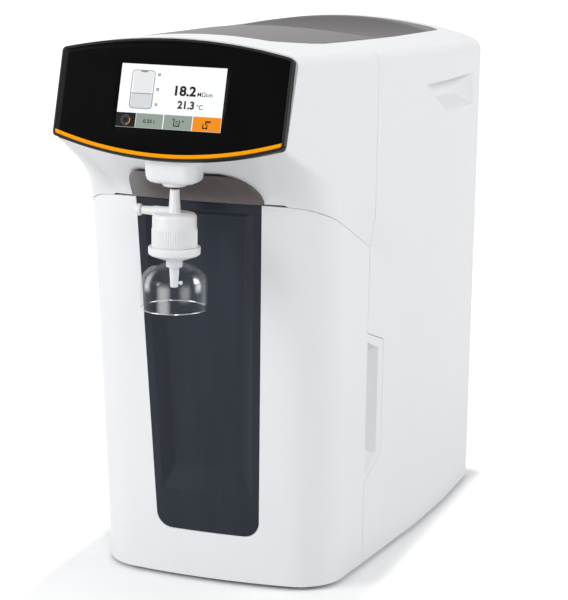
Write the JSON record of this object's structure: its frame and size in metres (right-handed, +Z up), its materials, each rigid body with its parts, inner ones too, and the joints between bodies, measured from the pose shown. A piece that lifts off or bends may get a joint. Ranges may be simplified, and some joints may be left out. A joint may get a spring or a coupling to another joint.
{
  "type": "ultrapure water system",
  "caption": "Bench-top ultrapure water system with a touch display, dispensing niche, plug-in final filter with filling bell, pull-off front cover and lift-off lid over its storage bag.",
  "frame": {"origin": "on the bench, under the middle of the whole machine", "axes": "+Z up, -Y towards the display and the dispensing point, +X to the right seen from the front"},
  "size_m": [0.282, 0.552, 0.5129],
  "materials": {
    "white_cover": "satin moulded",
    "dark_niche": "fine textured",
    "dark_underside": "satin",
    "lid_grey": "fine textured",
    "bezel_grey": "satin",
    "bezel_black": "polished",
    "accent_orange": "satin",
    "screen_glass": "touch screen",
    "module_metal": "sheet",
    "circuit_board": "lacquered",
    "steel": "zinc plated",
    "frame_sheet": "powder coated",
    "supply_case": "sheet",
    "pins_brass": "plated",
    "black_plastic": "moulded",
    "rubber_foot": "moulded",
    "fitting_grey": "moulded",
    "tub_plastic": "formed",
    "bag_film": "clear film, filled",
    "cartridge_white": "moulded",
    "cell_plastic": "moulded",
    "motor_metal": "cast",
    "valve_plastic": "moulded",
    "hose_tube": "flexible",
    "filter_white": "moulded",
    "membrane_white": "porous",
    "clear_bell": "clear moulded plastic"
  },
  "bodies": {
    "housing": {"hood_shell": "white_cover", "underside_insert": "dark_underside", "outlet_boss": "white_cover", "outlet_ring": "white_cover", "outlet_seal": "black_plastic", "display_frame": "bezel_grey", "display_panel": "bezel_black", "accent_stripe": "accent_orange", "touch_glass": "screen_glass", "screen_module": "module_metal", "display_board": "circuit_board", "display_posts": "steel", "rear_cover": "white_cover", "cover_screws": "steel", "base_plate": "frame_sheet", "feet": "rubber_foot", "foot_screws": "steel", "rear_panel": "frame_sheet", "power_inlet": "black_plastic", "inlet_pins": "pins_brass", "feed_fitting": "fitting_grey", "drain_fitting": "fitting_grey", "fitting_nuts": "fitting_grey", "panel_screws": "steel", "bag_tub": "tub_plastic", "storage_bag": "bag_film", "bag_coupling": "fitting_grey", "cartridge_a": "cartridge_white", "cartridge_b": "cartridge_white", "cartridge_dock": "cartridge_white", "bulkhead": "frame_sheet", "side_frames": "frame_sheet", "conductivity_cell": "cell_plastic", "pump_head": "cell_plastic", "pump_bracket": "steel", "pump_motor": "motor_metal", "feed_valve": "valve_plastic", "outlet_valve": "valve_plastic", "power_supply": "supply_case", "main_board": "circuit_board", "board_standoffs": "steel", "pump_hose": "hose_tube", "cartridge_hose": "hose_tube", "feed_hose": "hose_tube", "drain_hose": "hose_tube", "outlet_hose": "hose_tube"},
    "front_door": {"front_cover": "white_cover", "niche_insert": "dark_niche", "door_pins": "steel"},
    "lid": {"top_lid": "lid_grey"},
    "filter": {"filter_capsule_top": "filter_white", "filter_capsule_base": "filter_white", "filter_membrane": "membrane_white", "outlet_nozzle": "filter_white", "filling_bell": "clear_bell"},
    "vent_valve": {"vent_wheel": "filter_white"},
    "switch": {"power_rocker": "black_plastic"},
    "fuse_holder": {"fuse_drawer": "black_plastic"}
  },
  "joints": [
    {"name": "front_cover_pull", "type": "slide", "parent": "housing", "child": "front_door", "axis": [0, -1, 0], "range_m": [0, 0.025]},
    {"name": "lid_lift", "type": "slide", "parent": "housing", "child": "lid", "axis": [0, 0, 1], "range_m": [0, 0.08]},
    {"name": "filter_plug", "type": "slide", "parent": "housing", "child": "filter", "axis": [0, 0, -1], "range_m": [0, 0.025]},
    {"name": "vent_turn", "type": "hinge", "parent": "filter", "child": "vent_valve", "pos_m": [-0.035, -0.2475, 0.3646], "axis": [-1, 0, 0], "range_deg": [0, 360]},
    {"name": "switch_rock", "type": "hinge", "parent": "housing", "child": "switch", "pos_m": [-0.062, 0.247, 0.0925], "axis": [-1, 0, 0], "range_deg": [0, 20]},
    {"name": "fuse_slide", "type": "slide", "parent": "housing", "child": "fuse_holder", "axis": [0, 1, 0], "range_m": [0, 0.018]}
  ]
}
